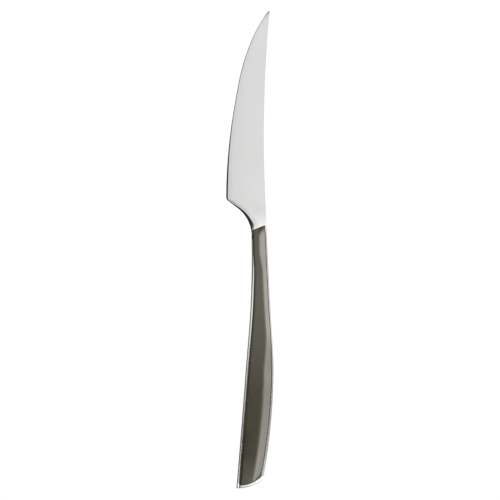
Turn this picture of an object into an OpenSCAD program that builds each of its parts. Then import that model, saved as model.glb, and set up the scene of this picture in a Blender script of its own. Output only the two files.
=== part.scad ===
// Table knife with a pointed blade, a full tang and two bonded handle scales.
// It lies flat: +Y runs to the tip, +X to the spine, +Z up through the front scale.
// Lengths along the knife are measured from the front corner of the scales, and widths from a straight axis
// through the neck. The last move puts the origin under the middle of the knife, on the table.

/* [Blade outline] */
// Length of the blade, from the scales to the tip
blade_len = 107.5; // [95:0.5:125]
// Width of the blunt end of the tip
tip_w = 0.8; // [0.4:0.1:1.5]
// Distance from the axis to the spine at the tip
spine_tip = 5.3; // [3:0.1:8]
// Distance from the axis to the spine where it dips most
spine_dip = 2.4; // [1.5:0.1:4]
// Distance from the scales to the dip of the spine
spine_dip_y = 40; // [25:1:60]
// Distance from the axis to the spine at the scales
spine_neck = 3.7; // [3:0.1:5]
// Distance from the axis to the cutting edge at its heel
edge_heel = 16.5; // [13:0.1:20]
// Distance from the axis to the cutting edge along its middle
edge_mid = 12.3; // [9:0.1:15]
// Distance from the scales to that middle
edge_mid_y = 60; // [45:1:70]
// Distance from the axis to the cutting edge where it starts to sweep up
edge_fore = 6.7; // [4:0.1:9]
// Distance from the scales to the start of that sweep
edge_fore_y = 85; // [75:1:90]
// Distance from the axis to the cutting edge just behind the tip
edge_point = 0.3; // [-1:0.1:3]
// Distance from the scales to that place behind the tip
edge_point_y = 100; // [93:0.5:104]
// Rounding of the heel corner
heel_r = 2.4; // [1:0.1:4]
// Slope of the choil, the notch behind the heel, in degrees
choil_angle = 37; // [25:1:50]
// Radius of the curve from the choil into the neck
choil_r = 17.5; // [8:0.5:20]

/* [Steel] */
// Thickness of the tang under the scales
core_t = 3.6; // [3:0.1:5]
// Thickness of the spine at the heel
spine_t = 2.2; // [1.6:0.1:3]
// Thickness of the spine at the tip
tip_t = 0.6; // [0.4:0.1:1.5]
// Thickness of the blade just behind the convex bevel at the heel
edge_t = 0.6; // [0.3:0.05:1]
// Width of the convex bevel at the heel
bevel_heel = 1.1; // [0.5:0.05:2]
// Width of the convex bevel from the middle of the cutting edge to the tip
bevel_tip = 0.45; // [0.2:0.05:1]
// How far the ground face bulges at its middle
face_bulge = 0.05; // [0:0.01:0.15]
// Thickness left at the very edge
land_t = 0.08; // [0.04:0.02:0.2]
// Length of the shoulder that sweeps from the tang's thickness down to the blade's
shoulder_len = 14; // [8:0.5:20]
// Width over which the blade's face rolls off along the cutting edge and the choil
roll_w = 2.5; // [1:0.1:4]
// Depth of that roll-off along the cutting edge
edge_roll = 0.02; // [0:0.01:0.05]
// Depth of that roll-off along the choil
choil_roll = 0.06; // [0:0.01:0.15]
// How much wider than tall the rounding of the choil is
choil_round = 1.8; // [0.8:0.1:2]
// Chamfer along the spine of the blade and of the palm swell
spine_chamfer = 0.05; // [0.05:0.05:0.2]
// Chamfer along the spine side of the grip
grip_chamfer = 0.25; // [0.1:0.05:0.5]
// Rounding of the belly edge from the grip back, seen from above
belly_r = 0.5; // [0.3:0.1:1.1]
// Rounding of the butt edge, seen from above
butt_r = 0.5; // [0.3:0.1:1.5]

/* [Handle outline] */
// Length of the handle, from the front corner of the scales to the butt
handle_len = 132.5; // [115:0.5:150]
// Distance from the front of the scales back to the narrowest place
neck_y = 5.5; // [2:0.5:10]
// Distance from the axis to the belly at the narrowest place
belly_neck = 3.75; // [3:0.05:5]
// Distance from the front of the scales back to the grip
grip_y = 35; // [25:1:45]
// Distance from the axis to the spine side at the grip
spine_grip = 5.3; // [4:0.05:7]
// Distance from the axis to the belly at the grip
belly_grip = 4; // [3.5:0.05:6]
// Distance from the front of the scales back to the palm swell
palm_y = 75; // [65:1:90]
// Distance from the axis to the spine side at the palm swell
spine_palm = 7.3; // [5.5:0.05:9]
// Distance from the axis to the belly at the palm swell
belly_palm = 6.85; // [5.5:0.05:9]
// Distance from the axis to the spine side at the butt
spine_butt = 2; // [0:0.1:4]
// Distance from the axis to the belly at the butt
belly_butt = 11.4; // [9:0.1:13]
// How far the spine corner of the butt lies in front of its belly corner
butt_rise = 4.2; // [2:0.1:8]
// How far the butt bulges beyond a straight line between its corners
butt_sag = 1.25; // [0.5:0.05:2.5]
// Rounding of the belly corner of the butt
butt_belly_r = 0.6; // [0.3:0.1:1.5]
// Rounding of the spine corner of the butt
butt_spine_r = 1; // [0.5:0.1:3]

/* [Scales] */
// Thickness of each scale at its crown
scale_t = 2.5; // [2:0.1:4]
// Steel left showing beside the scales along the belly
border_belly = 1.2; // [1.1:0.05:2.5]
// Steel left showing beside the belly corner of the scales' front end
border_neck = 0.6; // [0.5:0.05:1.5]
// Steel left showing beside the scales along the spine
border_spine = 0.5; // [0.5:0.05:1.5]
// Steel left showing beside the scales at the spine corner of the butt
border_corner = 1.05; // [0.5:0.05:2]
// Steel left showing behind the scales at the butt
border_butt = 1.65; // [1.5:0.05:3]
// How far the belly corner of the front end lies behind its spine corner
front_slant = 2.5; // [0:0.1:5]
// Radius of the crowned face, seen along the knife
crown_r = 11; // [8:0.5:20]
// Width that curves down beside the flat land along the belly
crown_belly = 1.6; // [1:0.1:2.5]
// Width that curves down beside the flat land along the spine, at the front end
crown_front = 4.6; // [1.5:0.1:5]
// Width that curves down beside the flat land along the spine, at the grip
crown_grip = 3.3; // [1.5:0.1:4]
// Width that curves down beside the flat land along the spine, from the palm swell back
crown_palm = 5.2; // [2:0.1:6]
// Distance from the front of the scales back to the start of the flat land, on which the knife rests
land_front = 24; // [20:1:32]
// Distance from the front of the scales back to the end of the land
land_back = 112; // [100:1:118]
// How much thinner the scales are at their front end
front_fall = 0.6; // [0.3:0.1:0.8]
// How much thinner the scales are at the butt
butt_fall = 0.5; // [0:0.1:0.7]
// Length over which the scales roll off at their front end
nose_len = 4; // [3:0.5:12]
// Depth of that roll-off
nose_fall = 0.25; // [0:0.05:0.4]
// Length over which the scales roll off at the butt
tail_len = 3.5; // [2:0.5:8]
// Depth of that roll-off
tail_fall = 0.25; // [0:0.05:0.4]
// Rounding of the scales' upper edge
scale_r = 0.6; // [0.3:0.1:1]
// Least height of the scales' upright side
scale_foot = 0.15; // [0.1:0.05:0.3]
// Rounding of the front end's belly corner
front_belly_r = 0.8; // [0.3:0.1:1.5]
// Rounding of the front end's spine corner
front_spine_r = 0.8; // [0.3:0.1:1.5]
// Rounding of the butt end's belly corner
scale_belly_r = 0.8; // [0.4:0.1:1.5]
// Rounding of the butt end's spine corner
scale_spine_r = 1; // [0.4:0.1:3]

/* [Bond and pins] */
// Thickness of the adhesive film under each scale
bond_t = 0.1; // [0.05:0.01:0.2]
// Distance that the film stays back from the scale's outline
bond_inset = 0.3; // [0.1:0.1:0.6]
// Diameter of the locating pins
pin_d = 3; // [2:0.1:4]
// Gap between a pin and its hole, all round
pin_gap = 0.05; // [0.02:0.01:0.1]
// Depth of the pin sockets in the scales
socket_depth = 1.3; // [0.8:0.1:1.4]
// Gap left past each end of a pin
pin_end_gap = 0.1; // [0.05:0.05:0.3]
// Distance from the front of the scales back to the front pin
pin_front_y = 28; // [22:1:45]
// Distance from the front of the scales back to the rear pin
pin_back_y = 98; // [80:1:108]

/* [Hidden] */
$fn = 48;

// Steps along each stretch of the steel outline, and round the edges of a section
edge_steps = 30;
heel_steps = 5;
slope_steps = 4;
choil_steps = 9;
belly_steps = 28;
end_steps = 6;
round_steps = 5;
face_steps = 8;
// How strongly the steps of the cutting edge gather at the tip
tip_gather = 1.4;
// Steps along the scales, round their upper edge, down each side of the crown and across the land
scale_steps = 28;
scale_round_steps = 4;
crown_steps = 4;
land_steps = 4;
// Lengths over which the butt's slant, the front slant, the corner's border and the palm's crown fade out
butt_blend = 60;
slant_blend = 20;
corner_blend = 70;
crown_blend = 22;
// Lengths over which the bevel turns into the choil's rounding, and that rounding into the handle's
heel_blend = 3;
neck_blend = 5;
// The largest shares of a narrow section that its bevel or its chamfer takes, and each side of its crown
narrow_share = 0.4;
crown_belly_share = 0.3;
crown_spine_share = 0.65;

core_half = core_t / 2;
seat = core_half + bond_t;
handle_half = seat + scale_t;
land_half = land_t / 2;
pin_len = core_t + 2 * (bond_t + socket_depth - pin_end_gap);
pin_ys = [-pin_front_y, -pin_back_y];

function mix(a, b, t) = a + (b - a) * t;
function ease(t) = let(c = min(1, max(0, t))) c * c * (3 - 2 * c);

// A smooth curve through knots [place, value], in rising order of place
function gap(k, i) = k[i + 1][0] - k[i][0];
function chord_slope(k, i) = (k[i + 1][1] - k[i][1]) / gap(k, i);
function inner_slope(k, i) =
    (chord_slope(k, i - 1) * gap(k, i) + chord_slope(k, i) * gap(k, i - 1)) / (gap(k, i - 1) + gap(k, i));
function slope(k, i) =
    i == 0 ? 2 * chord_slope(k, 0) - inner_slope(k, 1)
    : i == len(k) - 1 ? 2 * chord_slope(k, i - 1) - inner_slope(k, i - 1)
    : inner_slope(k, i);
function span_of(k, q, i = 0) = i == len(k) - 2 || q < k[i + 1][0] ? i : span_of(k, q, i + 1);
function curve(k, q) =
    let(i = span_of(k, q), h = gap(k, i), t = (q - k[i][0]) / h)
    k[i][1] * (1 + 2 * t) * (1 - t) ^ 2 + k[i + 1][1] * t ^ 2 * (3 - 2 * t)
    + h * slope(k, i) * t * (1 - t) ^ 2 - h * slope(k, i + 1) * t ^ 2 * (1 - t);

// How far a rounded corner or edge of radius r draws in at distance d from its end
function draw_in(r, d) = d < r ? r - sqrt(r ^ 2 - (r - d) ^ 2) : 0;

// The choil runs straight from the heel's rounding into an arc that ends upright at the neck
swing = 90 - choil_angle;
swing_dir = [cos(swing), sin(swing)];
choil_c = [-belly_neck - choil_r, -neck_y];
choil_top = choil_c + choil_r * swing_dir;
heel_foot_x = -edge_heel + heel_r * (1 - cos(swing));
heel_foot = [heel_foot_x, choil_top[1] + (choil_top[0] - heel_foot_x) * tan(choil_angle)];
heel_c = heel_foot + heel_r * swing_dir;
heel_y = heel_c[1];

spine_knots = [
    [butt_rise - handle_len, spine_butt], [-palm_y, spine_palm], [-grip_y, spine_grip],
    [0, spine_neck], [spine_dip_y, spine_dip], [blade_len, spine_tip]];
belly_knots = [
    [-handle_len, -belly_butt], [-palm_y, -belly_palm], [-grip_y, -belly_grip], [-neck_y, -belly_neck]];
edge_knots = [
    [heel_y, -edge_heel], [edge_mid_y, -edge_mid], [edge_fore_y, -edge_fore],
    [edge_point_y, -edge_point], [blade_len, spine_tip - tip_w]];
function spine_x(y) = curve(spine_knots, y);
function belly_x(y) = curve(belly_knots, y);
function edge_x(y) = y > heel_y ? curve(edge_knots, y) : -edge_heel;

// How far a place belongs to the slender front of the handle, ahead of the flat land
function front_fade(y) = ease(2 * (1 + y / land_front));

// Steel left showing beside the scales
function belly_border(y) = mix(border_belly, border_neck, front_fade(y));
function spine_border(y) =
    mix(border_corner, border_spine, ease((y + handle_len - butt_rise) / corner_blend));

// A rung crosses the knife from [x, y] on the belly side to [x, y] on the spine side. Its third number is
// how far it bulges to the butt, and its last one its distance from the end that it is rounded towards.
function rung_y(rung, x) =
    let(u = (x - rung[0][0]) / (rung[1][0] - rung[0][0]))
    mix(rung[0][1], rung[1][1], u) - 4 * rung[2] * u * (1 - u);
function butt_fade(y) = ease(1 - (y + handle_len) / butt_blend);
function end_places(r) = [for (i = [0:end_steps]) r * (1 - cos(90 * i / end_steps))];

// Rungs of the steel, from the tip down the edge, round the heel and choil, and down the handle to the butt
function level_rung(p) = [p, [spine_x(p[1]), p[1]], 0, handle_len];
function handle_rung(y) =
    let(spine_y = y + butt_rise * butt_fade(y))
    [[belly_x(y), y], [spine_x(spine_y), spine_y], butt_sag * butt_fade(y), y + handle_len];
steel_end = max(butt_r, butt_belly_r, butt_spine_r);
belly_stretch = handle_len - neck_y - steel_end;
steel_rungs = [
    for (i = [0:edge_steps])
        let(y = mix(blade_len, heel_y, (i / edge_steps) ^ tip_gather))
        level_rung([edge_x(y), y]),
    for (i = [1:heel_steps])
        let(a = 180 + swing * i / heel_steps)
        level_rung(heel_c + heel_r * [cos(a), sin(a)]),
    for (i = [1:slope_steps - 1]) level_rung(mix(heel_foot, choil_top, i / slope_steps)),
    for (i = [0:choil_steps])
        let(a = swing * (1 - i / choil_steps))
        level_rung(choil_c + choil_r * [cos(a), sin(a)]),
    for (i = [1:belly_steps - 1]) handle_rung(-neck_y - belly_stretch * i / belly_steps),
    for (i = [0:end_steps]) handle_rung(end_places(steel_end)[end_steps - i] - handle_len)];

// Where the slanted front end of the scales lies along the knife
function front_line(x) =
    let(belly = border_neck - belly_neck, spine = spine_neck - border_spine)
    -front_slant * min(1, max(0, (spine - x) / (spine - belly)));

// The bevel narrows to the tip but keeps its shape, so the blade behind it thins too
function bevel_w(y) = mix(bevel_heel, bevel_tip, ease((y - heel_y) / (edge_mid_y - heel_y)));
function edge_half(y) = mix(land_half, edge_t / 2, bevel_w(y) / bevel_heel);

// Half the steel's thickness over its face: a ground blade, and a shoulder that sweeps up to the tang's seat
function steel_half(x, y) =
    let(
        blade_w = spine_x(y) - edge_x(y),
        u = min(1, max(0, (x - edge_x(y)) / blade_w)),
        spine_half = mix(spine_t, tip_t, (y - heel_y) / (blade_len - heel_y)) / 2,
        bulge = 4 * face_bulge * u * (1 - u) * min(1, blade_w / edge_heel),
        grind = mix(edge_half(y), spine_half, u) + bulge,
        t = min(1, max(0, (y - front_line(x)) / shoulder_len)))
    mix(core_half, grind, 1 - (1 - t) ^ 2);

// Chamfer along the spine, widest beside the slender part of the scales
function chamfer_w(y) =
    mix(spine_chamfer, grip_chamfer, ease(min(-y / nose_len, 1 + (y + grip_y) / crown_blend)));

// How much narrower than along its rung the choil's rounding is, square to its slanted outline
function choil_lean(y) = sqrt(1 - min(sin(swing), max(0, (y + neck_y) / choil_r)) ^ 2);

// Upper half of a section as [distance from the belly side, height]
function steel_profile(rung, w) =
    let(
        x0 = rung[0][0] + draw_in(butt_belly_r, rung[3]),
        y = rung[0][1],
        bevel = min(bevel_w(y), narrow_share * w),
        neck = ease((y + nose_len) / neck_blend),
        border = belly_border(y),
        handle_round = mix(min(belly_r, border), border, front_fade(y)),
        belly_round = mix(handle_round, choil_round * steel_half(x0, y) / choil_lean(y), neck),
        rounding = ease((heel_y - y) / heel_blend),
        shoulder = mix(bevel, belly_round, rounding),
        chamfer = min(chamfer_w(rung[1][1]), narrow_share * w),
        roll = mix(edge_roll, choil_roll * neck, rounding),
        top = function(a) steel_half(x0 + a, y) - roll * max(0, 1 - (a - shoulder) / roll_w) ^ 2)
    [
        for (i = [0:round_steps])
            let(
                t = i / round_steps,
                a = mix(bevel * t, belly_round * (1 - cos(90 * t)), rounding),
                rise = mix(1 - (1 - t) ^ 2, sin(90 * t), rounding))
            [a, mix(land_half, top(shoulder), rise)],
        for (i = [1:face_steps - 1])
            let(a = mix(shoulder, w - chamfer, i / face_steps))
            [a, top(a)],
        [w - chamfer, top(w - chamfer)],
        [w, top(w - chamfer) - chamfer]];

// A closed section: along the top from the belly to the spine, and back along the underside
function steel_section(rung) =
    let(
        x0 = rung[0][0] + draw_in(butt_belly_r, rung[3]),
        x1 = rung[1][0] - draw_in(butt_spine_r, rung[3]),
        edge_fade = rung[3] < butt_r ? sqrt(1 - (1 - rung[3] / butt_r) ^ 2) : 1,
        top = [
            for (p = steel_profile(rung, x1 - x0))
                [x0 + p[0], rung_y(rung, x0 + p[0]), max(land_half, p[1] * edge_fade)]])
    concat(top, [for (i = [len(top) - 1:-1:0]) [top[i][0], top[i][1], -top[i][2]]]);

// Rungs of a scale, from its front end to the butt, parallel to the butt at the end
scale_len = handle_len - front_slant - border_butt;
function scale_rung(s) =
    let(
        y = -front_slant - s,
        spine_y = y + butt_rise * butt_fade(y) + front_slant * ease(1 - s / slant_blend))
    [[belly_x(y) + belly_border(y), y], [spine_x(spine_y) - spine_border(spine_y), spine_y],
        butt_sag * butt_fade(y), s];
scale_end = max(scale_r, front_belly_r, front_spine_r, scale_belly_r, scale_spine_r);
scale_places = [
    for (d = end_places(scale_end)) d,
    for (i = [1:scale_steps - 1]) mix(scale_end, scale_len - scale_end, i / scale_steps),
    for (i = [end_steps:-1:0]) scale_len - end_places(scale_end)[i]];
function scale_x0(rung) =
    rung[0][0] + draw_in(front_belly_r, rung[3]) + draw_in(scale_belly_r, scale_len - rung[3]);
function scale_x1(rung) =
    rung[1][0] - draw_in(front_spine_r, rung[3]) - draw_in(scale_spine_r, scale_len - rung[3]);

// The flat land of a scale w wide lies between these two distances from its belly side
function land_start(w) = min(crown_belly, crown_belly_share * w);
function crown_w(y) =
    y < -grip_y
    ? mix(crown_palm, crown_grip, ease((y + palm_y) / crown_blend))
    : mix(crown_grip, crown_front, front_fade(y));
function land_stop(y, w) = w - min(crown_w(y), crown_spine_share * w);

// Height of a scale's face at s behind its front end and beside its land: it curves down to the sides, and
// falls off to both ends and rolls off there
function crown_z(y, s, beside) =
    handle_half
    - front_fall * max(0, 1 + y / land_front) ^ 2
    - butt_fall * max(0, (-y - land_back) / (handle_len - land_back)) ^ 2
    - nose_fall * max(0, 1 - s / nose_len) ^ 2
    - tail_fall * max(0, 1 - (scale_len - s) / tail_len) ^ 2
    - beside ^ 2 / (2 * crown_r);

// How far a place on a rung lies inside the scale's outline, up to the end of the rounding there
function edge_depth(rung, x) =
    let(
        from_belly = x - rung[0][0],
        from_spine = rung[1][0] - x,
        from_butt = scale_len - rung[3],
        belly_corner = rung[3] < from_butt ? front_belly_r : scale_belly_r,
        spine_corner = rung[3] < from_butt ? front_spine_r : scale_spine_r,
        r = max(scale_r, from_belly < from_spine ? belly_corner : spine_corner))
    r - norm([max(0, r - min(from_belly, from_spine)), max(0, r - min(rung[3], from_butt))]);

// Places across a scale: both rounded edges, and the land with the slopes on both sides of it
function scale_places_across(w, land_0, land_1) =
    [
        for (i = [0:scale_round_steps]) scale_r * (1 - cos(90 * i / scale_round_steps)),
        for (i = [1:crown_steps]) mix(scale_r, land_0, i / crown_steps),
        for (i = [1:land_steps - 1]) mix(land_0, land_1, i / land_steps),
        for (i = [0:crown_steps - 1]) mix(land_1, w - scale_r, i / crown_steps),
        for (i = [scale_round_steps:-1:0]) w - scale_r * (1 - cos(90 * i / scale_round_steps))];
function scale_section(rung) =
    let(
        x0 = scale_x0(rung),
        w = scale_x1(rung) - x0,
        land_0 = land_start(w),
        land_1 = land_stop(rung[1][1], w),
        top = [
            for (a = scale_places_across(w, land_0, land_1))
                let(
                    x = x0 + a,
                    y = rung_y(rung, x),
                    beside = max(0, land_0 - a, a - land_1),
                    z = crown_z(y, rung[3], beside) - draw_in(scale_r, max(0, edge_depth(rung, x))))
                [x, y, max(z, seat + scale_foot)]])
    concat(top, [for (i = [len(top) - 1:-1:0]) [top[i][0], top[i][1], seat]]);
function scale_mid_x(y) = (belly_x(y) + belly_border(y) + spine_x(y) - spine_border(y)) / 2;

// The middle of the knife, for the last move
butt_rung = handle_rung(-handle_len);
butt_low_share = max(0, 1 / 2 - butt_rise / (8 * butt_sag));
butt_low = rung_y(butt_rung, mix(butt_rung[0][0], butt_rung[1][0], butt_low_share));
mid_x = (min([for (r = steel_rungs) r[0][0]]) + max([for (r = steel_rungs) r[1][0]])) / 2;
mid_y = (blade_len + butt_low) / 2;

// A solid through closed sections that all have the same even number of points
module loft(sections) {
    m = len(sections[0]);
    last = (len(sections) - 1) * m;
    side_faces = [
        for (i = [0:len(sections) - 2], j = [0:m - 1])
            let(a = i * m + j, b = i * m + (j + 1) % m)
            each [[a, b, b + m], [a, b + m, a + m]]];
    end_faces = [
        for (j = [0:m / 2 - 2])
            let(k = m - 1 - j)
            each [
                [j + 1, j, k], [j + 1, k, k - 1],
                [last + j, last + j + 1, last + k], [last + j + 1, last + k - 1, last + k]]];
    polyhedron([for (s = sections) each s], concat(side_faces, end_faces));
}

module on_table() {
    translate([-mid_x, -mid_y, handle_half]) children();
}

module at_pins() {
    for (y = pin_ys) translate([scale_mid_x(y), y, 0]) children();
}

// Holes and sockets for the pins, right through the tang and into both scales
module pin_holes() {
    at_pins() cylinder(d = pin_d + 2 * pin_gap, h = 2 * (seat + socket_depth), center = true);
}

module scale_solid() {
    difference() {
        loft([for (s = scale_places) scale_section(scale_rung(s))]);
        pin_holes();
    }
}

module bond_film() {
    rungs = [
        for (i = [0:scale_steps]) scale_rung(mix(bond_inset, scale_len - bond_inset, i / scale_steps))];
    belly_side = [for (r = rungs) let(x = scale_x0(r) + bond_inset) [x, rung_y(r, x)]];
    spine_side = [for (r = rungs) let(x = scale_x1(r) - bond_inset) [x, rung_y(r, x)]];
    last = len(rungs) - 1;
    difference() {
        translate([0, 0, core_half])
            linear_extrude(bond_t)
                polygon(concat(belly_side, [for (i = [last:-1:0]) spine_side[i]]));
        pin_holes();
    }
}

module blade_and_tang() {
    color("silver") on_table() difference() {
        loft([for (r = steel_rungs) steel_section(r)]);
        pin_holes();
    }
}

module front_scale() {
    color("#6b675d") on_table() scale_solid();
}

module rear_scale() {
    color("#6b675d") on_table() mirror([0, 0, 1]) scale_solid();
}

module front_bond() {
    color("#d8cfae") on_table() bond_film();
}

module rear_bond() {
    color("#d8cfae") on_table() mirror([0, 0, 1]) bond_film();
}

module locating_pins() {
    color("darkgray") on_table() at_pins() cylinder(d = pin_d, h = pin_len, center = true);
}

blade_and_tang();
front_scale();
rear_scale();
front_bond();
rear_bond();
locating_pins();
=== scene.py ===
import math
from collections import namedtuple

import bpy
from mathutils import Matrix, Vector


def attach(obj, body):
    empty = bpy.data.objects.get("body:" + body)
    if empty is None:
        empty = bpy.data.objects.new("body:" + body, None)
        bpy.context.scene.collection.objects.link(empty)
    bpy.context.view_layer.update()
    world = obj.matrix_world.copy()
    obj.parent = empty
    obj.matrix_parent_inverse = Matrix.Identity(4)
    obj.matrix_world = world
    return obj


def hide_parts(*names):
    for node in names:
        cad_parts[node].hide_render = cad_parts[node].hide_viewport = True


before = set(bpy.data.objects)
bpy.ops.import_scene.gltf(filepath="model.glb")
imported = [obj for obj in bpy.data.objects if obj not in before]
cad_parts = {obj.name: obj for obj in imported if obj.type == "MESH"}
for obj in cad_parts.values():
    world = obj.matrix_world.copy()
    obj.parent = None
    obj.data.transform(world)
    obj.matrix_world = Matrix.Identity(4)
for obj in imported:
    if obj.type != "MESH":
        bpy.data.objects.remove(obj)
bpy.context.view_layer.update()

MM = 0.001

# The knife's sizes are in millimetres. In their names R is a radius, T a thickness, W a width,
# LEN a length along the knife and Y a place along it.

# Where the neck axis and the scales' front corner lie in the frame
AXIS_X = 4.59229
FRONT_Y = 12.516

# Blade outline, measured from the scales' front corner and from the neck axis
BLADE_LEN = 107.5
TIP_W = 0.8
SPINE_TIP = 5.3
SPINE_DIP = 2.4
SPINE_DIP_Y = 40
SPINE_NECK = 3.7
EDGE_HEEL = 16.5
EDGE_MID = 12.3
EDGE_MID_Y = 60
EDGE_FORE = 6.7
EDGE_FORE_Y = 85
EDGE_POINT = 0.3
EDGE_POINT_Y = 100
HEEL_R = 2.4
CHOIL_ANGLE = math.radians(37)
CHOIL_R = 17.5

# Steel sections
CORE_T = 3.6
SPINE_T = 2.2
TIP_T = 0.6
EDGE_T = 0.6
BEVEL_HEEL = 1.1
BEVEL_TIP = 0.45
FACE_BULGE = 0.05
LAND_T = 0.08
SHOULDER_LEN = 14
ROLL_W = 2.5
EDGE_ROLL = 0.02
CHOIL_ROLL = 0.06
SPINE_CHAMFER = 0.05
GRIP_CHAMFER = 0.25
BELLY_R = 0.5
BUTT_R = 0.5
# The choil's rounding as a multiple of half the steel's thickness there
CHOIL_ROUND = 1.8
# Buffing leaves the bared border along the belly a little hollow,
# and slopes it at the butt and at the butt's spine corner
BORDER_HOLLOW = 0.05
BUTT_DROP = 0.12
CORNER_DROP = 0.03

# Handle outline
HANDLE_LEN = 132.5
NECK_Y = 5.5
BELLY_NECK = 3.75
GRIP_Y = 35
SPINE_GRIP = 5.3
BELLY_GRIP = 4
PALM_Y = 75
SPINE_PALM = 7.3
BELLY_PALM = 6.85
SPINE_BUTT = 2
BELLY_BUTT = 11.4
BUTT_RISE = 4.2
BUTT_SAG = 1.25
BUTT_BELLY_R = 0.6
BUTT_SPINE_R = 1

# Scales
SCALE_T = 2.5
BORDER_BELLY = 1.2
BORDER_NECK = 0.6
BORDER_SPINE = 0.5
BORDER_CORNER = 1.05
BORDER_BUTT = 1.65
FRONT_SLANT = 2.5
CROWN_R = 11
CROWN_BELLY = 1.6
CROWN_FRONT = 4.6
CROWN_GRIP = 3.3
CROWN_PALM = 5.2
LAND_FRONT = 24
LAND_BACK = 112
FRONT_FALL = 0.6
BUTT_FALL = 0.5
NOSE_LEN = 4
NOSE_FALL = 0.25
TAIL_LEN = 3.5
TAIL_FALL = 0.25
SCALE_R = 0.6
SCALE_FOOT = 0.15
FRONT_BELLY_R = 0.8
FRONT_SPINE_R = 0.8
SCALE_BELLY_R = 0.8
SCALE_SPINE_R = 1

# Bond and pin holes
BOND_T = 0.1
PIN_HOLE_R = 1.55
SOCKET_DEPTH = 1.3
PIN_YS = (-28, -98)

# Lengths over which forms fade into each other
BUTT_BLEND = 60
SLANT_BLEND = 20
CORNER_BLEND = 70
CROWN_BLEND = 22
HEEL_BLEND = 3
NECK_BLEND = 5
ROUND_BLEND = 45
HOLLOW_BLEND = 45

# In a narrow section, the most that a bevel or a chamfer takes, and the least that the face between the
# borders keeps
NARROW_SHARE = 0.4
# The least width between the bevel or the rounding and the inner line of the border beside it
LEAST_BAND = 0.2
# The most of a narrow scale that each side of its crown takes
CROWN_BELLY_SHARE = 0.3
CROWN_SPINE_SHARE = 0.65

# Where the painted highlight on the neck starts, is full, begins to fade and ends, from the scales' front
# corner
NECK_HIGHLIGHT_START = 8
NECK_HIGHLIGHT_FULL = -0.5
NECK_HIGHLIGHT_FADE = -2.5
NECK_HIGHLIGHT_END = -5.5

# Rows along the knife and columns across it
EDGE_ROWS = 110
TIP_GATHER = 1.4
HEEL_ROWS = 14
SLOPE_ROWS = 14
CHOIL_ROWS = 40
BELLY_ROWS = 120
END_ROWS = 12
ROUND_COLUMNS = 10
BORDER_COLUMNS = 4
CORNER_COLUMNS = 3
FACE_COLUMNS = 22
SCALE_ROWS = 130
SCALE_ROUND_COLUMNS = 8
CROWN_COLUMNS = 12
LAND_COLUMNS = 8

# Sides of the round drill for the pin holes, and the angle up to which faces meet smoothly
DRILL_SIDES = 64
SMOOTH_ANGLE = math.radians(32)

CORE_HALF = CORE_T / 2
LAND_HALF = LAND_T / 2
SEAT = CORE_HALF + BOND_T
HANDLE_HALF = SEAT + SCALE_T
SCALE_LEN = HANDLE_LEN - FRONT_SLANT - BORDER_BUTT


def mix(a, b, t):
    """a at t = 0 and b at t = 1."""
    return a + (b - a) * t


def clamp(t):
    return min(1, max(0, t))


def ease(t):
    """A smooth step from 0 at t = 0 to 1 at t = 1."""
    t = clamp(t)
    return t * t * (3 - 2 * t)


def steps(start, stop, count):
    """Numbers from start to stop in count even steps."""
    return [mix(start, stop, i / count) for i in range(count + 1)]


def smooth_curve(*knots):
    """A smooth curve through knots (place, value), as a function of place."""
    gaps = [b[0] - a[0] for a, b in zip(knots, knots[1:])]
    chords = [(b[1] - a[1]) / gap for a, b, gap in zip(knots, knots[1:], gaps)]
    inner = [
        (chords[i] * gaps[i + 1] + chords[i + 1] * gaps[i]) / (gaps[i] + gaps[i + 1])
        for i in range(len(gaps) - 1)]
    slopes = [2 * chords[0] - inner[0], *inner, 2 * chords[-1] - inner[-1]]

    def value(place):
        i = 0
        while i < len(gaps) - 1 and place >= knots[i + 1][0]:
            i += 1
        gap = gaps[i]
        t = (place - knots[i][0]) / gap
        ends = knots[i][1] * (1 + 2 * t) * (1 - t) ** 2 + knots[i + 1][1] * t ** 2 * (3 - 2 * t)
        return ends + gap * slopes[i] * t * (1 - t) ** 2 - gap * slopes[i + 1] * t ** 2 * (1 - t)

    return value


def draw_in(radius, distance):
    """How far a rounding draws in at a distance from its end."""
    return radius - math.sqrt(radius * radius - (radius - distance) ** 2) if distance < radius else 0


def round_places(radius, count):
    """Distances from the end of a rounding, which gather where it is steepest."""
    return [radius * (1 - math.cos(angle)) for angle in steps(0, math.pi / 2, count)]


def on_arc(centre, radius, angle):
    return centre.x + radius * math.cos(angle), centre.y + radius * math.sin(angle)


# The choil runs straight from the heel's rounding into an arc that ends upright at the neck
SWING = math.pi / 2 - CHOIL_ANGLE
swing_heading = Vector((math.cos(SWING), math.sin(SWING)))
choil_centre = Vector((-BELLY_NECK - CHOIL_R, -NECK_Y))
choil_top = choil_centre + CHOIL_R * swing_heading
heel_foot_x = -EDGE_HEEL + HEEL_R * (1 - math.cos(SWING))
heel_foot = Vector((heel_foot_x, choil_top.y + (choil_top.x - heel_foot_x) * math.tan(CHOIL_ANGLE)))
heel_centre = heel_foot + HEEL_R * swing_heading
HEEL_Y = heel_centre.y

spine_x = smooth_curve(
    (BUTT_RISE - HANDLE_LEN, SPINE_BUTT), (-PALM_Y, SPINE_PALM), (-GRIP_Y, SPINE_GRIP),
    (0, SPINE_NECK), (SPINE_DIP_Y, SPINE_DIP), (BLADE_LEN, SPINE_TIP))
belly_x = smooth_curve(
    (-HANDLE_LEN, -BELLY_BUTT), (-PALM_Y, -BELLY_PALM), (-GRIP_Y, -BELLY_GRIP), (-NECK_Y, -BELLY_NECK))
edge_curve = smooth_curve(
    (HEEL_Y, -EDGE_HEEL), (EDGE_MID_Y, -EDGE_MID), (EDGE_FORE_Y, -EDGE_FORE),
    (EDGE_POINT_Y, -EDGE_POINT), (BLADE_LEN, SPINE_TIP - TIP_W))


def edge_x(y):
    return edge_curve(y) if y > HEEL_Y else -EDGE_HEEL


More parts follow.
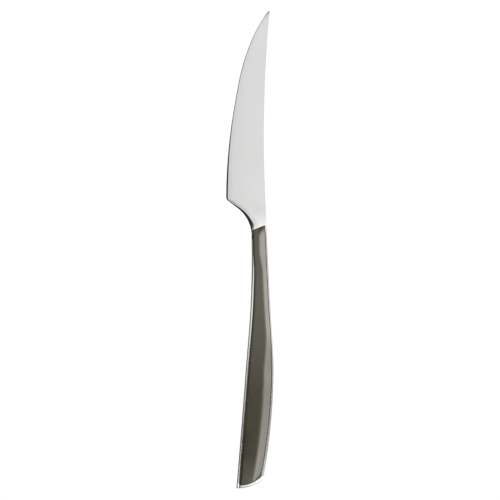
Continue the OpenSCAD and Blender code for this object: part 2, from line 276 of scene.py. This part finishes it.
# A rung crosses the knife from its belly side to its spine side, bulges to the butt by sag,
# and lies from_end away from the end that it is rounded towards
Rung = namedtuple("Rung", "belly_x belly_y spine_x spine_y sag from_end")


def rung_y(rung, x):
    u = (x - rung.belly_x) / (rung.spine_x - rung.belly_x)
    return mix(rung.belly_y, rung.spine_y, u) - 4 * rung.sag * u * (1 - u)


# How far a place belongs to a part of the knife, from 0 to 1

def front_fade(y):
    """The slender front of the handle, ahead of the flat land."""
    return ease(2 * (1 + y / LAND_FRONT))


def neck_fade(y):
    """The neck and all that lies ahead of it."""
    return ease((y + NOSE_LEN) / NECK_BLEND)


def corner_fade(y):
    """The butt's spine corner."""
    return ease(1 - (y + HANDLE_LEN - BUTT_RISE) / CORNER_BLEND)


def butt_fade(y):
    """The rear of the handle, where rungs lean and bow as the butt does."""
    return ease(1 - (y + HANDLE_LEN) / BUTT_BLEND)


# Forms of the steel

def belly_border(y):
    return mix(BORDER_BELLY, BORDER_NECK, front_fade(y))


def spine_border(y):
    return mix(BORDER_SPINE, BORDER_CORNER, corner_fade(y))


def level_rung(x, y):
    """A straight rung from a place on the belly side, far from the butt's rounding."""
    return Rung(x, y, spine_x(y), y, 0, HANDLE_LEN)


def handle_rung(y):
    """A rung of the handle's steel, which leans and bows more towards the butt."""
    spine_y = y + BUTT_RISE * butt_fade(y)
    return Rung(belly_x(y), y, spine_x(spine_y), spine_y, BUTT_SAG * butt_fade(y), y + HANDLE_LEN)


def steel_rungs():
    """Rungs from the tip down the edge, round the heel and choil, and down the handle to the butt."""
    rungs = []
    for t in steps(0, 1, EDGE_ROWS):
        y = mix(BLADE_LEN, HEEL_Y, t ** TIP_GATHER)
        rungs.append(level_rung(edge_x(y), y))
    for angle in steps(math.pi, math.pi + SWING, HEEL_ROWS)[1:]:
        rungs.append(level_rung(*on_arc(heel_centre, HEEL_R, angle)))
    for t in steps(0, 1, SLOPE_ROWS)[1:-1]:
        rungs.append(level_rung(*heel_foot.lerp(choil_top, t)))
    for angle in steps(SWING, 0, CHOIL_ROWS):
        rungs.append(level_rung(*on_arc(choil_centre, CHOIL_R, angle)))
    end = max(BUTT_R, BUTT_BELLY_R, BUTT_SPINE_R, BORDER_BUTT)
    rungs += [handle_rung(y) for y in steps(-NECK_Y, end - HANDLE_LEN, BELLY_ROWS)[1:-1]]
    rungs += [handle_rung(distance - HANDLE_LEN) for distance in reversed(round_places(end, END_ROWS))]
    return rungs


def front_line(x):
    """Where the scales' slanted front end lies along the knife."""
    belly = -BELLY_NECK + BORDER_NECK
    spine = SPINE_NECK - BORDER_SPINE
    return -FRONT_SLANT * clamp((spine - x) / (spine - belly))


def bevel_width(y):
    """Width of the convex bevel, which narrows from the heel to the middle of the edge."""
    return mix(BEVEL_HEEL, BEVEL_TIP, ease((y - HEEL_Y) / (EDGE_MID_Y - HEEL_Y)))


def steel_half(x, y):
    """Half the steel's thickness: a ground blade, and a shoulder that sweeps up to the tang's seat."""
    blade_width = spine_x(y) - edge_x(y)
    u = clamp((x - edge_x(y)) / blade_width)
    edge_half = mix(LAND_HALF, EDGE_T / 2, bevel_width(y) / BEVEL_HEEL)
    spine_half = mix(SPINE_T, TIP_T, (y - HEEL_Y) / (BLADE_LEN - HEEL_Y)) / 2
    bulge = 4 * FACE_BULGE * u * (1 - u) * min(1, blade_width / EDGE_HEEL)
    grind = mix(edge_half, spine_half, u) + bulge
    t = clamp((y - front_line(x)) / SHOULDER_LEN)
    return mix(CORE_HALF, grind, 1 - (1 - t) ** 2)


def chamfer_width(y):
    """Width of the chamfer along the spine, widest beside the slender part of the scales."""
    grip = min(-y / NOSE_LEN, 1 + (y + GRIP_Y) / CROWN_BLEND)
    return mix(SPINE_CHAMFER, GRIP_CHAMFER, ease(grip))


def belly_rounding(y, side):
    """Width of the rounding along the handle's belly and the choil, with the belly side at x = side."""
    border = belly_border(y)
    handle_round = mix(min(BELLY_R, border), border, ease(1 + y / ROUND_BLEND))
    lean = math.sqrt(1 - min(math.sin(SWING), max(0, (y + NECK_Y) / CHOIL_R)) ** 2)
    return mix(handle_round, CHOIL_ROUND * steel_half(side, y) / lean, neck_fade(y))


def steel_profile(rung, side, width):
    """The upper half of a section as (distance from its belly side, height)."""
    y = rung.belly_y
    bevel = min(bevel_width(y), NARROW_SHARE * width)
    belly_round = belly_rounding(y, side)
    rounding = ease((HEEL_Y - y) / HEEL_BLEND)
    shoulder = mix(bevel, belly_round, rounding)
    chamfer = min(chamfer_width(rung.spine_y), NARROW_SHARE * width)
    inner = max(belly_border(y), shoulder + LEAST_BAND)
    rim = width - chamfer
    outer = max(width - spine_border(rung.spine_y), mix(inner, rim, NARROW_SHARE))
    roll = mix(EDGE_ROLL, CHOIL_ROLL * neck_fade(y), rounding)
    swell = ease(-(y + GRIP_Y) / HOLLOW_BLEND)
    corner = CORNER_DROP * corner_fade(rung.spine_y) ** 2 * min(1, rung.from_end / BORDER_BUTT)

    def face(across):
        rolled = roll * max(0, 1 - (across - shoulder) / ROLL_W) ** 2
        hollow = BORDER_HOLLOW * swell * (across - shoulder) / (inner - shoulder) if across <= inner else 0
        slope = corner * max(0, (across - outer) / (rim - outer))
        return steel_half(side + across, y) - rolled - hollow - slope

    profile = []
    for t in steps(0, 1, ROUND_COLUMNS):
        turn = t * math.pi / 2
        across = mix(bevel * t, belly_round * (1 - math.cos(turn)), rounding)
        rise = mix(1 - (1 - t) ** 2, math.sin(turn), rounding)
        profile.append((across, mix(LAND_HALF, face(shoulder), rise)))
    bands = ((shoulder, inner, BORDER_COLUMNS), (inner, outer, FACE_COLUMNS), (outer, rim, CORNER_COLUMNS))
    for start, stop, count in bands:
        profile += [(across, face(across)) for across in steps(start, stop, count)[1:]]
    profile.append((width, face(rim) - chamfer))
    return profile


def steel_row(rung):
    """Points along a rung over the steel's upper face, rounded off at the butt."""
    belly_side = rung.belly_x + draw_in(BUTT_BELLY_R, rung.from_end)
    spine_side = rung.spine_x - draw_in(BUTT_SPINE_R, rung.from_end)
    fade = math.sqrt(1 - (1 - rung.from_end / BUTT_R) ** 2) if rung.from_end < BUTT_R else 1
    drop = BUTT_DROP * max(0, 1 - rung.from_end / BORDER_BUTT)
    row = []
    for across, z in steel_profile(rung, belly_side, spine_side - belly_side):
        x = belly_side + across
        row.append((x, rung_y(rung, x), max(LAND_HALF, (z - drop) * fade)))
    return row


# Forms of the scales

def scale_rung(behind):
    """A rung of a scale, some way behind its front end. It lies parallel to each end beside that end."""
    y = -FRONT_SLANT - behind
    spine_y = y + BUTT_RISE * butt_fade(y) + FRONT_SLANT * ease(1 - behind / SLANT_BLEND)
    return Rung(
        belly_x(y) + belly_border(y), y, spine_x(spine_y) - spine_border(spine_y), spine_y,
        BUTT_SAG * butt_fade(y), behind)


def crown_height(y, behind, beside):
    """Height of a scale's face: level on its land, curved down beside it, and rolled off to both ends."""
    front = FRONT_FALL * max(0, 1 + y / LAND_FRONT) ** 2
    butt = BUTT_FALL * max(0, (-y - LAND_BACK) / (HANDLE_LEN - LAND_BACK)) ** 2
    nose = NOSE_FALL * max(0, 1 - behind / NOSE_LEN) ** 2
    tail = TAIL_FALL * max(0, 1 - (SCALE_LEN - behind) / TAIL_LEN) ** 2
    return HANDLE_HALF - front - butt - nose - tail - beside ** 2 / (2 * CROWN_R)


def edge_depth(rung, x):
    """How far a place on a rung lies inside the scale's outline, up to the end of the rounding there."""
    from_belly = x - rung.belly_x
    from_spine = rung.spine_x - x
    from_butt = SCALE_LEN - rung.from_end
    near_front = rung.from_end < from_butt
    belly_corner = FRONT_BELLY_R if near_front else SCALE_BELLY_R
    spine_corner = FRONT_SPINE_R if near_front else SCALE_SPINE_R
    radius = max(SCALE_R, belly_corner if from_belly < from_spine else spine_corner)
    past_side = max(0, radius - min(from_belly, from_spine))
    past_end = max(0, radius - min(rung.from_end, from_butt))
    return radius - math.hypot(past_side, past_end)


def crown_width(y):
    """Width that curves down beside the land along the spine."""
    if y < -GRIP_Y:
        return mix(CROWN_PALM, CROWN_GRIP, ease((y + PALM_Y) / CROWN_BLEND))
    return mix(CROWN_GRIP, CROWN_FRONT, front_fade(y))


def scale_row(rung):
    """Points along a rung over a scale's face, from rim to rim."""
    from_butt = SCALE_LEN - rung.from_end
    belly_side = rung.belly_x + draw_in(FRONT_BELLY_R, rung.from_end) + draw_in(SCALE_BELLY_R, from_butt)
    spine_side = rung.spine_x - draw_in(FRONT_SPINE_R, rung.from_end) - draw_in(SCALE_SPINE_R, from_butt)
    width = spine_side - belly_side
    land_start = min(CROWN_BELLY, CROWN_BELLY_SHARE * width)
    land_end = width - min(crown_width(rung.spine_y), CROWN_SPINE_SHARE * width)
    rounding = round_places(SCALE_R, SCALE_ROUND_COLUMNS)
    places = [
        *rounding,
        *steps(SCALE_R, land_start, CROWN_COLUMNS)[1:],
        *steps(land_start, land_end, LAND_COLUMNS)[1:-1],
        *steps(land_end, width - SCALE_R, CROWN_COLUMNS)[:-1],
        *(width - across for across in reversed(rounding))]
    row = []
    for across in places:
        x = belly_side + across
        y = rung_y(rung, x)
        beside = max(0, land_start - across, across - land_end)
        z = crown_height(y, rung.from_end, beside) - draw_in(SCALE_R, max(0, edge_depth(rung, x)))
        row.append((x, y, max(z, SEAT + SCALE_FOOT)))
    return row


def scale_rows():
    """Rows over a scale's face, from its front end to its butt end."""
    end = max(SCALE_R, FRONT_BELLY_R, FRONT_SPINE_R, SCALE_BELLY_R, SCALE_SPINE_R)
    beside_end = round_places(end, END_ROWS)
    places = [
        *beside_end,
        *steps(end, SCALE_LEN - end, SCALE_ROWS)[1:-1],
        *(SCALE_LEN - distance for distance in reversed(beside_end))]
    return [scale_row(scale_rung(behind)) for behind in places]


# Modelling steps, as by hand

def take(piece):
    """Makes a piece the only selected and active object."""
    bpy.ops.object.select_all(action="DESELECT")
    piece.select_set(True)
    bpy.context.view_layer.objects.active = piece


def lay_sheet(name, rows):
    """A grid whose rows of corners are laid over a face, from the butt forward, in millimetres."""
    bpy.ops.object.select_all(action="DESELECT")
    bpy.ops.mesh.primitive_grid_add(x_subdivisions=len(rows[0]) - 1, y_subdivisions=len(rows) - 1)
    piece = bpy.context.object
    piece.name = name
    piece.data.name = name
    points = [point for row in reversed(rows) for point in row]
    for vertex, point in zip(piece.data.vertices, points):
        vertex.co = point
    return piece


def close_with_twin(piece, height, middle):
    """Copies a sheet, scales the copy's height about z = middle and bridges the two rims."""
    take(piece)
    bpy.ops.object.mode_set(mode="EDIT")
    bpy.ops.mesh.select_mode(type="EDGE")
    bpy.ops.mesh.select_all(action="SELECT")
    bpy.ops.mesh.duplicate()
    bpy.ops.transform.resize(value=(1, 1, height), center_override=(0, 0, middle))
    bpy.ops.mesh.select_all(action="DESELECT")
    bpy.ops.mesh.select_non_manifold(
        use_wire=False, use_boundary=True, use_multi_face=False, use_non_contiguous=False, use_verts=False)
    bpy.ops.mesh.bridge_edge_loops()
    bpy.ops.mesh.select_all(action="SELECT")
    bpy.ops.mesh.normals_make_consistent(inside=False)
    bpy.ops.object.mode_set(mode="OBJECT")


def drill_pin_holes(piece):
    """Cuts the holes and sockets of the locating pins."""
    for y in PIN_YS:
        x = (belly_x(y) + belly_border(y) + spine_x(y) - spine_border(y)) / 2
        bpy.ops.mesh.primitive_cylinder_add(
            vertices=DRILL_SIDES, radius=PIN_HOLE_R, depth=2 * (SEAT + SOCKET_DEPTH), location=(x, y, 0))
        drill = bpy.context.object
        take(piece)
        hole = piece.modifiers.new("pin hole", "BOOLEAN")
        hole.operation = "DIFFERENCE"
        hole.object = drill
        bpy.ops.object.modifier_apply(modifier=hole.name)
        bpy.data.objects.remove(drill)


def set_on_table(piece):
    """Moves a piece from the neck axis to its place in the frame, in metres, and smooths its faces."""
    piece.scale = (MM, MM, MM)
    piece.location = (AXIS_X * MM, FRONT_Y * MM, HANDLE_HALF * MM)
    take(piece)
    bpy.ops.object.transform_apply(location=True, rotation=False, scale=True)
    bpy.ops.object.shade_smooth_by_angle(angle=SMOOTH_ANGLE)


def make_blade_and_tang():
    piece = lay_sheet("forged_blade_and_tang", [steel_row(rung) for rung in steel_rungs()])
    close_with_twin(piece, -1, 0)
    drill_pin_holes(piece)
    set_on_table(piece)
    return piece


def make_scales():
    front = lay_sheet("crowned_front_scale", scale_rows())
    close_with_twin(front, 0, SEAT)
    drill_pin_holes(front)
    take(front)
    bpy.ops.object.duplicate()
    rear = bpy.context.object
    rear.name = "crowned_rear_scale"
    rear.data.name = rear.name
    bpy.ops.object.mode_set(mode="EDIT")
    bpy.ops.mesh.select_all(action="SELECT")
    bpy.ops.transform.resize(value=(1, 1, -1), center_override=(0, 0, 0))
    bpy.ops.mesh.normals_make_consistent(inside=False)
    bpy.ops.object.mode_set(mode="OBJECT")
    set_on_table(front)
    set_on_table(rear)
    return front, rear


# Finishes

# The part of a noise's range that its effects use, and the directions of the hairlines in radians
NOISE_RANGE = (0.3, 0.7)
NOISE_MIDDLE = 0.5
HAIR_TURNS = (0.5, -0.8)


class Nodes:
    """Adds nodes to a tree and feeds their inputs with constants or with other nodes' outputs."""

    def __init__(self, tree):
        self.tree = tree

    def add(self, kind, inputs=None, **settings):
        node = self.tree.nodes.new("ShaderNode" + kind)
        for name, value in settings.items():
            setattr(node, name, value)
        for name, source in (inputs or {}).items():
            self.feed(node.inputs[name], source)
        return node

    def feed(self, socket, source):
        if isinstance(source, bpy.types.NodeSocket):
            self.tree.links.new(source, socket)
        else:
            socket.default_value = source

    def math(self, operation, *values):
        node = self.add("Math", operation=operation)
        for socket, value in zip(node.inputs, values):
            self.feed(socket, value)
        return node.outputs[0]

    def remap(self, value, low, high, to_low=0.0, to_high=1.0):
        """A smooth ramp from to_low at low to to_high at high."""
        node = self.add("MapRange", {
            "Value": value, "From Min": low, "From Max": high, "To Min": to_low, "To Max": to_high},
            interpolation_type="SMOOTHSTEP")
        return node.outputs["Result"]

    def colour(self, mask, first, second):
        """The first colour where mask is 0 and the second where it is 1."""
        node = self.add("Mix", {"Factor": mask, 6: first, 7: second}, data_type="RGBA")
        return node.outputs[2]


def new_group(name, inputs, output):
    """An empty node group with float inputs {name: default} and one float output."""
    group = bpy.data.node_groups.new(name, "ShaderNodeTree")
    for label, default in inputs.items():
        socket = group.interface.new_socket(label, in_out="INPUT", socket_type="NodeSocketFloat")
        socket.default_value = default
    group.interface.new_socket(output, in_out="OUTPUT", socket_type="NodeSocketFloat")
    nodes = Nodes(group)
    start = group.nodes.new("NodeGroupInput")
    end = group.nodes.new("NodeGroupOutput")
    return group, nodes, start.outputs, end.inputs[output]


def stretched_noise(nodes, across, along, turn=0.0, detail=2.0):
    """Noise on Object coordinates, with across and along cells in a metre."""
    place = nodes.add("TexCoord").outputs["Object"]
    spread = nodes.add("CombineXYZ", {"X": across, "Y": along, "Z": across}).outputs[0]
    cells = nodes.add("Mapping", {"Vector": place, "Rotation": (0.0, 0.0, turn), "Scale": spread})
    noise = nodes.add("TexNoise", {"Vector": cells.outputs[0], "Scale": 1.0, "Detail": detail})
    return noise.outputs[0]


def polish_lines():
    """Fine lines that a polishing wheel leaves along the knife."""
    group, nodes, given, result = new_group("polish lines", {"Across": 5000.0, "Along": 90.0}, "Lines")
    noise = stretched_noise(nodes, given["Across"], given["Along"], detail=3.0)
    nodes.feed(result, nodes.remap(noise, *NOISE_RANGE))
    return group


def clouding():
    """Soft patches in a finish."""
    group, nodes, given, result = new_group("clouding", {"Cells": 60.0}, "Cloud")
    noise = stretched_noise(nodes, given["Cells"], given["Cells"], detail=4.0)
    nodes.feed(result, nodes.remap(noise, *NOISE_RANGE))
    return group


def hairlines():
    """A few thin scratches from use, in two directions."""
    line_sizes = {"Across": 260.0, "Along": 9.0, "Width": 0.006}
    group, nodes, given, result = new_group("hairlines", line_sizes, "Hairline")
    sets = []
    for turn in HAIR_TURNS:
        noise = stretched_noise(nodes, given["Across"], given["Along"], turn=turn, detail=0.0)
        off_line = nodes.math("ABSOLUTE", nodes.math("SUBTRACT", noise, NOISE_MIDDLE))
        sets.append(nodes.remap(off_line, 0.0, given["Width"], 1.0, 0.0))
    nodes.feed(result, nodes.math("MAXIMUM", *sets))
    return group


def worn_edges():
    """Ridges and edges that handling has rubbed."""
    group, nodes, given, result = new_group("worn edges", {"Start": 0.51, "Full": 0.6}, "Wear")
    ridge = nodes.add("NewGeometry").outputs["Pointiness"]
    nodes.feed(result, nodes.remap(ridge, given["Start"], given["Full"]))
    return group


LINES = polish_lines()
CLOUD = clouding()
HAIR = hairlines()
WEAR = worn_edges()


def new_finish(name):
    """A material with only its Principled shader, as (material, nodes, shader)."""
    material = bpy.data.materials.new(name)
    material.use_nodes = True
    nodes = Nodes(material.node_tree)
    return material, nodes, material.node_tree.nodes["Principled BSDF"]


def effect(nodes, group, **values):
    """Places a shared effect in a material with its own values."""
    node = nodes.add("Group", node_tree=group)
    for name, value in values.items():
        nodes.feed(node.inputs[name], value)
    return node.outputs[0]


def weighted(nodes, base, *parts):
    """base plus each (weight, value)."""
    total = base
    for weight, value in parts:
        total = nodes.math("MULTIPLY_ADD", value, weight, total)
    return total


def painted_neck_highlight(nodes):
    """How far a place belongs to the neck, where the steel's colour gets a painted highlight that brightens
    towards the scales' front end.
    """
    place = nodes.add("TexCoord").outputs["Object"]
    along = nodes.add("SeparateXYZ", {"Vector": place}).outputs[1]
    ahead = nodes.remap(along, (FRONT_Y + NECK_HIGHLIGHT_START) * MM, (FRONT_Y + NECK_HIGHLIGHT_FULL) * MM)
    behind = nodes.remap(along, (FRONT_Y + NECK_HIGHLIGHT_END) * MM, (FRONT_Y + NECK_HIGHLIGHT_FADE) * MM)
    return nodes.math("MULTIPLY", ahead, behind)


def polished_steel():
    material, nodes, shader = new_finish("polished steel")
    lines = effect(nodes, LINES, Across=5200.0, Along=80.0)
    cloud = effect(nodes, CLOUD, Cells=45.0)
    hair = effect(nodes, HAIR)
    wear = effect(nodes, WEAR)
    tone = weighted(nodes, 0.0, (0.6, cloud), (0.4, lines))
    ground_colour = nodes.colour(tone, (0.60, 0.60, 0.595, 1), (0.64, 0.64, 0.635, 1))
    # The neck's steel colour is painted brighter here: a painted highlight.
    steel_colour = nodes.colour(painted_neck_highlight(nodes), ground_colour, (0.765, 0.765, 0.76, 1))
    nodes.feed(shader.inputs["Base Color"], steel_colour)
    rough = weighted(nodes, 0.12, (0.04, lines), (0.03, cloud), (0.06, hair), (-0.03, wear))
    nodes.feed(shader.inputs["Roughness"], rough)
    shader.inputs["Metallic"].default_value = 1.0
    height = weighted(nodes, lines, (-0.6, hair))
    bump = nodes.add("Bump", {"Strength": 0.03, "Distance": 0.00002, "Height": height})
    nodes.feed(shader.inputs["Normal"], bump.outputs[0])
    return material


def glossy_taupe():
    material, nodes, shader = new_finish("glossy taupe moulding")
    cloud = effect(nodes, CLOUD, Cells=120.0)
    grain = effect(nodes, CLOUD, Cells=1500.0)
    hair = effect(nodes, HAIR, Across=180.0, Along=7.0, Width=0.004)
    tone = weighted(nodes, 0.0, (0.7, cloud), (0.3, grain))
    taupe_colour = nodes.colour(tone, (0.0285, 0.0247, 0.0128, 1), (0.0328, 0.0285, 0.015, 1))
    nodes.feed(shader.inputs["Base Color"], taupe_colour)
    rough = weighted(nodes, 0.14, (0.04, cloud), (0.02, grain), (0.12, hair))
    nodes.feed(shader.inputs["Roughness"], rough)
    shader.inputs["IOR"].default_value = 1.7
    shader.inputs["Specular Tint"].default_value = (1, 0.962, 0.875, 1)
    bump = nodes.add("Bump", {"Strength": 0.05, "Distance": 0.00004, "Height": grain})
    nodes.feed(shader.inputs["Normal"], bump.outputs[0])
    return material


def cured_adhesive():
    material, nodes, shader = new_finish("cured adhesive")
    cloud = effect(nodes, CLOUD, Cells=300.0)
    amber_colour = nodes.colour(cloud, (0.10, 0.085, 0.055, 1), (0.15, 0.13, 0.085, 1))
    nodes.feed(shader.inputs["Base Color"], amber_colour)
    nodes.feed(shader.inputs["Roughness"], weighted(nodes, 0.45, (0.2, cloud)))
    return material


def ground_dowel():
    material, nodes, shader = new_finish("ground dowel steel")
    lines = effect(nodes, LINES, Across=2500.0, Along=2500.0)
    dowel_colour = nodes.colour(lines, (0.50, 0.50, 0.51, 1), (0.60, 0.60, 0.61, 1))
    nodes.feed(shader.inputs["Base Color"], dowel_colour)
    nodes.feed(shader.inputs["Roughness"], weighted(nodes, 0.25, (0.12, lines)))
    shader.inputs["Metallic"].default_value = 1.0
    return material


def dress(piece, material):
    """Gives a piece one material, in its first slot."""
    piece.data.materials.clear()
    piece.data.materials.append(material)


# The studio

# The floor and the ceiling over it, in metres
FLOOR_WIDTH = 8
FLOOR_GLOW = 1.03
CEILING_HEIGHT = 0.6

# A soft patch of light on the ceiling, in metres. Each side is (where the glow fades out, where it is full):
# left and right across the knife, near towards the butt and far towards the tip. The far side moves along
# by lean for each metre across. radiance is (first value, second value, where the first ends, where the
# second starts), with both places along the knife.
Patch = namedtuple("Patch", "left right near far radiance lean", defaults=(0.0,))

OVER_BLADE = Patch(
    left=(-0.25, -0.05), right=(0.1, 0.04), near=(-0.11, 0.0), far=(0.34, 0.26),
    radiance=(1.16, 1.36, 0.15, 0.23))
OVER_GRIP = Patch(
    left=(-0.09, 0.03), right=(0.85, 0.6), near=(-0.11, -0.045), far=(0.01, -0.03),
    radiance=(0.9, 0.9, 0.0, 0.1))
BESIDE_GRIP = Patch(
    left=(0.06, 0.15), right=(1.15, 0.8), near=(-0.096, -0.04), far=(0.11, 0.02),
    radiance=(5.3, 5.3, 0.0, 0.1), lean=0.25)
BESIDE_PALM = Patch(
    left=(0.04, 0.22), right=(1.15, 0.8), near=(-0.55, -0.33), far=(-0.035, -0.095),
    radiance=(3.8, 2.7, -0.16, -0.1))
BEHIND_BUTT = Patch(
    left=(-0.06, 0.03), right=(0.4, 0.1), near=(-0.48, -0.3), far=(-0.12, -0.18),
    radiance=(1.3, 1.95, -0.25, -0.17))

# How the walls glow. Heights are a ray's upward share, from -1 straight down to 1 straight up. Sides are
# how far its level heading agrees with the edge's or the butt's, from -1 to 1. WALL_GLOW is the glow below
# and above the horizon, and the other pairs are the start and the end of a fade.
EDGE_HEADING = (-0.85, -0.53, 0.0)
BUTT_HEADING = (0.3, -0.954, 0.0)
HORIZON = (-0.1, 0.1)
WALL_GLOW = (0.28, 0.7)
SHADE_HEIGHTS = (0.44, 0.62)
SHADE_SIDES = (0.35, 0.8)
SHADE_DEPTH = 0.97
BUTT_BOUNCE = 0.8
BUTT_BOUNCE_SIDES = (0.75, 0.95)
SPINE_BOUNCE = 0.45
SPINE_BOUNCE_HEIGHTS = (-0.35, -0.1)
SPINE_BOUNCE_SIDES = (0.3, -0.3)

# The dark card in millimetres, and where it stands from the centre of the choil's arc
CARD_WIDTH = 14
CARD_DEPTH = 1
CARD_HEIGHT = 10.7
CARD_OUT = 9
CARD_FACING = math.radians(30)

# The camera's lens and sensor in millimetres, the width and the depth that it sees in metres,
# and the place that it looks at, measured as the outlines are
LENS = 400
SENSOR = 36
VIEW_WIDTH = 0.25147
VIEW_LIMIT = 20
AIM = (-4.526, -12.573)


def patch_glow(nodes, place, patch):
    """How strongly a place on the ceiling glows in a patch."""
    low, high, low_y, high_y = patch.radiance
    glow = nodes.remap(place[1], low_y, high_y, low, high)
    for axis, fade in ((0, patch.left), (1, patch.near)):
        glow = nodes.math("MULTIPLY", glow, nodes.remap(place[axis], *fade))
    glow = nodes.math("MULTIPLY", glow, nodes.remap(place[0], *reversed(patch.right), 1.0, 0.0))
    along = nodes.math("MULTIPLY_ADD", place[0], -patch.lean, place[1])
    return nodes.math("MULTIPLY", glow, nodes.remap(along, *reversed(patch.far), 1.0, 0.0))


def soft_ceiling(*patches):
    """A level ceiling over the knife that glows down on it where its patches are."""
    left = min(patch.left[0] for patch in patches)
    right = max(patch.right[0] for patch in patches)
    near = min(patch.near[0] for patch in patches)
    far = max(patch.far[0] + patch.lean * patch.right[0] for patch in patches)
    bpy.ops.object.select_all(action="DESELECT")
    bpy.ops.mesh.primitive_plane_add(size=1)
    ceiling = bpy.context.object
    ceiling.name = "soft ceiling"
    ceiling.scale = (right - left, far - near, 1)
    ceiling.location = ((right + left) / 2, (far + near) / 2, CEILING_HEIGHT)
    ceiling.visible_camera = False
    ceiling.visible_shadow = False
    take(ceiling)
    bpy.ops.object.transform_apply(location=True, rotation=False, scale=True)
    material = bpy.data.materials.new("ceiling glow")
    material.use_nodes = True
    nodes = Nodes(material.node_tree)
    material.node_tree.nodes.clear()
    place = nodes.add("SeparateXYZ", {"Vector": nodes.add("TexCoord").outputs["Object"]}).outputs
    glow = 0.0
    for patch in patches:
        glow = nodes.math("ADD", patch_glow(nodes, place, patch), glow)
    emission = nodes.add("Emission", {"Strength": glow})
    nodes.add("OutputMaterial", {"Surface": emission.outputs[0]})
    dress(ceiling, material)


def studio_room():
    """Pale walls, darker high up on the edge side, brighter low behind the butt and beside the spine.

    The camera sees them white."""
    world = bpy.data.worlds.new("studio")
    bpy.context.scene.world = world
    world.use_nodes = True
    nodes = Nodes(world.node_tree)
    world.node_tree.nodes.clear()
    ray = nodes.add("TexCoord").outputs["Generated"]
    height = nodes.add("SeparateXYZ", {"Vector": ray}).outputs[2]
    level = nodes.add("VectorMath", {0: ray, 1: (1.0, 1.0, 0.0)}, operation="MULTIPLY").outputs[0]
    heading = nodes.add("VectorMath", {0: level}, operation="NORMALIZE").outputs[0]
    edge_side, butt_side = (
        nodes.add("VectorMath", {0: heading, 1: aim}, operation="DOT_PRODUCT").outputs["Value"]
        for aim in (EDGE_HEADING, BUTT_HEADING))
    shade = nodes.math(
        "MULTIPLY", nodes.remap(height, *SHADE_HEIGHTS),
        nodes.remap(edge_side, *SHADE_SIDES, 0.0, SHADE_DEPTH))
    plain = nodes.remap(height, *HORIZON, *WALL_GLOW)
    wall = nodes.math("MULTIPLY", plain, nodes.math("SUBTRACT", 1.0, shade))
    butt_bounce = nodes.math(
        "MULTIPLY", nodes.remap(height, *HORIZON, BUTT_BOUNCE, 0.0),
        nodes.remap(butt_side, *BUTT_BOUNCE_SIDES))
    spine_bounce = nodes.math(
        "MULTIPLY", nodes.remap(height, *SPINE_BOUNCE_HEIGHTS, SPINE_BOUNCE, 0.0),
        nodes.remap(edge_side, *SPINE_BOUNCE_SIDES))
    wall = nodes.math("ADD", wall, nodes.math("ADD", butt_bounce, spine_bounce))
    seen = nodes.add("LightPath").outputs["Is Camera Ray"]
    room = nodes.add("Background", {"Strength": nodes.math("MAXIMUM", wall, seen)})
    nodes.add("OutputWorld", {"Surface": room.outputs[0]})


def dark_card():
    """A small black card inside the choil's arc, which the choil mirrors as a dark line."""
    bpy.ops.object.select_all(action="DESELECT")
    bpy.ops.mesh.primitive_cube_add(size=1)
    card = bpy.context.object
    card.name = "dark card"
    card.scale = (CARD_WIDTH * MM, CARD_DEPTH * MM, CARD_HEIGHT * MM)
    card.rotation_euler = (0, 0, CARD_FACING - math.pi / 2)
    x, y = on_arc(choil_centre, CARD_OUT, CARD_FACING)
    card.location = ((AXIS_X + x) * MM, (FRONT_Y + y) * MM, CARD_HEIGHT * MM / 2)
    card.visible_camera = False
    card.visible_diffuse = False
    card.visible_shadow = False
    take(card)
    bpy.ops.object.transform_apply(location=True, rotation=True, scale=True)
    material, _, shader = new_finish("black card")
    shader.inputs["Base Color"].default_value = (0, 0, 0, 1)
    shader.inputs["Specular IOR Level"].default_value = 0
    dress(card, material)


def pale_floor():
    """A white table that glows evenly, so that it shows no shadow, and that the knife doesn't mirror."""
    bpy.ops.object.select_all(action="DESELECT")
    bpy.ops.mesh.primitive_plane_add(size=FLOOR_WIDTH)
    floor = bpy.context.object
    floor.name = "floor"
    floor.visible_glossy = False
    material, _, shader = new_finish("pale floor")
    shader.inputs["Base Color"].default_value = (0, 0, 0, 1)
    shader.inputs["Specular IOR Level"].default_value = 0
    shader.inputs["Emission Color"].default_value = (1, 1, 1, 1)
    shader.inputs["Emission Strength"].default_value = FLOOR_GLOW
    dress(floor, material)


def overhead_camera():
    """A long lens straight above the knife, with the tip at the top of the picture."""
    camera = bpy.data.cameras.new("camera")
    camera.lens = LENS
    camera.sensor_width = SENSOR
    camera.clip_end = VIEW_LIMIT
    holder = bpy.data.objects.new("camera", camera)
    holder.location = (
        (AXIS_X + AIM[0]) * MM, (FRONT_Y + AIM[1]) * MM, HANDLE_HALF * MM + VIEW_WIDTH * LENS / SENSOR)
    bpy.context.scene.collection.objects.link(holder)
    bpy.context.scene.camera = holder


steel = make_blade_and_tang()
front_scale, rear_scale = make_scales()
dress(steel, polished_steel())
taupe = glossy_taupe()
for scale in (front_scale, rear_scale):
    dress(scale, taupe)

for piece, node, slot in (
        (steel, "blade_and_tang", "steel"),
        (front_scale, "front_scale", "scale"),
        (rear_scale, "rear_scale", "scale")):
    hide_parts(node)
    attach(piece, "root")

adhesive = cured_adhesive()
for node in ("front_bond", "rear_bond"):
    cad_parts[node].material_slots[0].material = adhesive
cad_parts["locating_pins"].material_slots[0].material = ground_dowel()

studio_room()
pale_floor()
dark_card()
soft_ceiling(OVER_BLADE, OVER_GRIP, BESIDE_GRIP, BESIDE_PALM, BEHIND_BUTT)
overhead_camera()
bpy.context.scene.view_settings.view_transform = "Standard"
